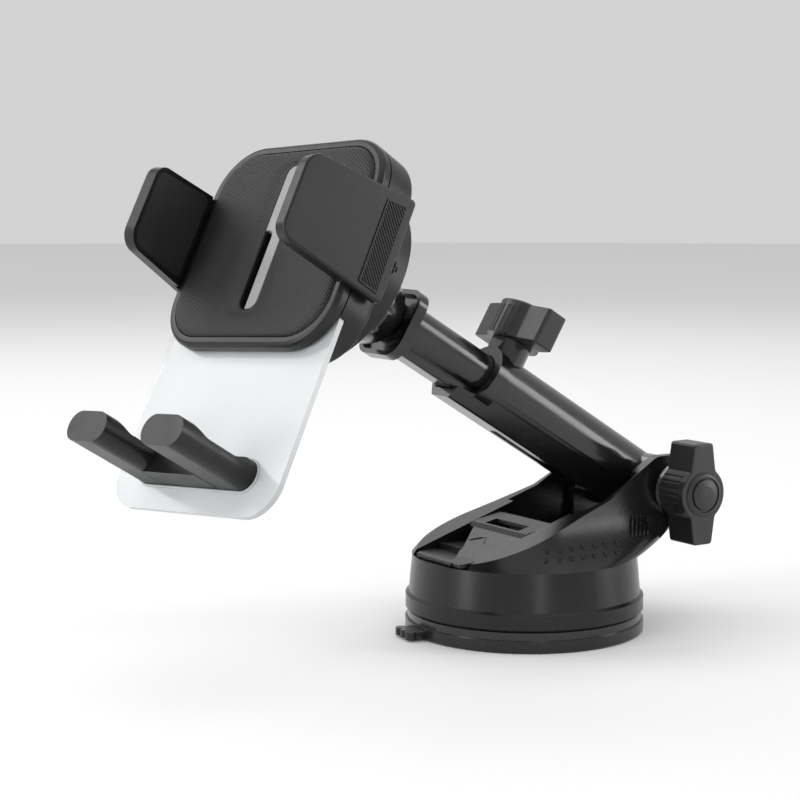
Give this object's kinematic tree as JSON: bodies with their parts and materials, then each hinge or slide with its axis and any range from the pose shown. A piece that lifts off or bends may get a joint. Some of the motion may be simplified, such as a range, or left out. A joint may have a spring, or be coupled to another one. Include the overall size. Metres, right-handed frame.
{
  "type": "suction cup phone mount",
  "caption": "Suction cup phone mount: locking lever base, hinged telescopic arm with clamp knobs, ball joint, and a head with sliding side clamps and a forked foot.",
  "frame": {"origin": "centre of the suction cup's face, on the surface that it holds to", "axes": "+Z away from that surface, -Y towards the phone side, +X towards the pivot knob"},
  "size_m": [0.0961, 0.2294, 0.1657],
  "materials": {
    "cup_rubber": "soft satin",
    "gloss_black": "gloss",
    "satin_black": "satin",
    "steel": "bright",
    "grip_rubber": "woven texture",
    "frosted_plate": "frosted clear",
    "satin_grey": "satin"
  },
  "bodies": {
    "base": {"suction_pad": "cup_rubber", "trim_ring": "gloss_black", "base_skirt": "satin_black", "base_screws": "steel", "base_cover": "satin_black", "lever_pins": "steel", "plunger_spring": "steel", "pivot_bolt": "steel", "friction_discs": "grip_rubber", "pivot_washer": "steel"},
    "lever": {"lock_lever": "satin_black", "cam_pin": "steel"},
    "plunger_slider": {"plunger": "satin_black"},
    "arm": {"outer_tube": "gloss_black", "clamp_insert": "satin_black", "pressure_pad": "grip_rubber"},
    "pivot_handle": {"pivot_knob": "gloss_black", "pivot_cap": "satin_black", "pivot_nut": "steel"},
    "clamp_handle": {"clamp_knob": "gloss_black", "clamp_cap": "satin_black", "clamp_screw": "steel"},
    "extension": {"inner_tube": "gloss_black", "end_flange": "gloss_black"},
    "ball": {"ball_stud": "satin_black"},
    "ball_seat": {"seat_ring_rear": "satin_black"},
    "head": {"seat_ring_front": "satin_black", "head_shell": "satin_black", "housing_screws": "steel", "head_bezel": "satin_black", "head_pad": "grip_rubber", "slot_bar": "satin_grey", "pinion_spring": "steel", "button_spring": "steel"},
    "nut": {"ball_nut": "gloss_black"},
    "drive_gear": {"pinion": "satin_black"},
    "right_jaw": {"clamp_arm_right": "satin_black", "arm_pad_right": "grip_rubber", "arm_grip_right": "grip_rubber", "rack_right": "satin_black"},
    "left_jaw": {"clamp_arm_left": "satin_black", "arm_pad_left": "grip_rubber", "arm_grip_left": "grip_rubber", "rack_left": "satin_black"},
    "button": {"release_button": "satin_black"},
    "catch": {"pawl": "satin_black"},
    "foot": {"foot_plate": "frosted_plate", "foot_fork": "satin_black", "fork_screws": "steel"}
  },
  "joints": [
    {"name": "lever_tilt", "type": "hinge", "parent": "base", "child": "lever", "pos_m": [0, -0.0045, 0.0333], "axis": [-1, 0, 0], "range_deg": [0, 40]},
    {"name": "plunger_lift", "type": "slide", "parent": "base", "child": "plunger_slider", "axis": [0, 0, 1], "range_m": [-0.00287, 0], "deforming": ["suction_pad", "plunger_spring"]},
    {"name": "arm_pivot", "type": "hinge", "parent": "base", "child": "arm", "pos_m": [0, 0.048, 0.0468], "axis": [-1, 0, 0], "range_deg": [-12, 58]},
    {"name": "pivot_knob_turn", "type": "hinge", "parent": "base", "child": "pivot_handle", "pos_m": [0, 0.048, 0.0468], "axis": [1, 0, 0], "continuous": true},
    {"name": "clamp_knob_turn", "type": "hinge", "parent": "arm", "child": "clamp_handle", "pos_m": [0, -0.01421, 0.08462], "axis": [0, 0.5195, 0.8545], "continuous": true},
    {"name": "arm_extend", "type": "slide", "parent": "arm", "child": "extension", "axis": [0, -0.8545, 0.5195], "range_m": [-0.02, 0.014]},
    {"name": "ball_spin", "type": "hinge", "parent": "extension", "child": "ball", "pos_m": [0, -0.06456, 0.11383], "axis": [0, -0.8545, 0.5195], "range_deg": [-45, 45]},
    {"name": "ball_tilt", "type": "hinge", "parent": "ball", "child": "ball_seat", "pos_m": [0, -0.06456, 0.11383], "axis": [0.9706, 0.2343, 0.0557], "range_deg": [-12, 12]},
    {"name": "ball_yaw", "type": "hinge", "parent": "ball_seat", "child": "head", "pos_m": [0, -0.06456, 0.11383], "axis": [-0.1656, 0.4814, 0.8607], "range_deg": [-22, 6]},
    {"name": "nut_turn", "type": "hinge", "parent": "head", "child": "nut", "pos_m": [0, -0.06456, 0.11383], "axis": [0.1749, -0.8446, 0.506], "continuous": true},
    {"name": "clamp_right", "type": "slide", "parent": "head", "child": "right_jaw", "axis": [0.9706, 0.2343, 0.0557], "range_m": [0, 0.012]},
    {"name": "clamp_left", "type": "slide", "parent": "head", "child": "left_jaw", "axis": [-0.9706, -0.2343, -0.0557], "range_m": [0, 0.012]},
    {"name": "pinion_turn", "type": "hinge", "parent": "head", "child": "drive_gear", "pos_m": [0, -0.06456, 0.11383], "axis": [-0.1749, 0.8446, -0.506], "range_deg": [0, 115]},
    {"name": "button_press", "type": "slide", "parent": "head", "child": "button", "axis": [0.1749, -0.8446, 0.506], "range_m": [0, 0.0016], "stiffness_N_per_m": 300, "springref_m": -0.002, "deforming": ["button_spring"]},
    {"name": "pawl_lift", "type": "hinge", "parent": "head", "child": "catch", "pos_m": [0.0098, -0.05333, 0.12919], "axis": [-0.1749, 0.8446, -0.506], "range_deg": [0, 7]},
    {"name": "foot_slide", "type": "slide", "parent": "head", "child": "foot", "axis": [-0.1656, 0.4814, 0.8607], "range_m": [0, 0.008]}
  ],
  "couplings": [
    {"joint": "plunger_lift", "follows": "lever_tilt", "m_per_rad": -0.0041},
    {"joint": "clamp_left", "follows": "clamp_right", "ratio": 1},
    {"joint": "pinion_turn", "follows": "clamp_right", "rad_per_m": 166.67},
    {"joint": "pawl_lift", "follows": "button_press", "rad_per_m": 75}
  ]
}
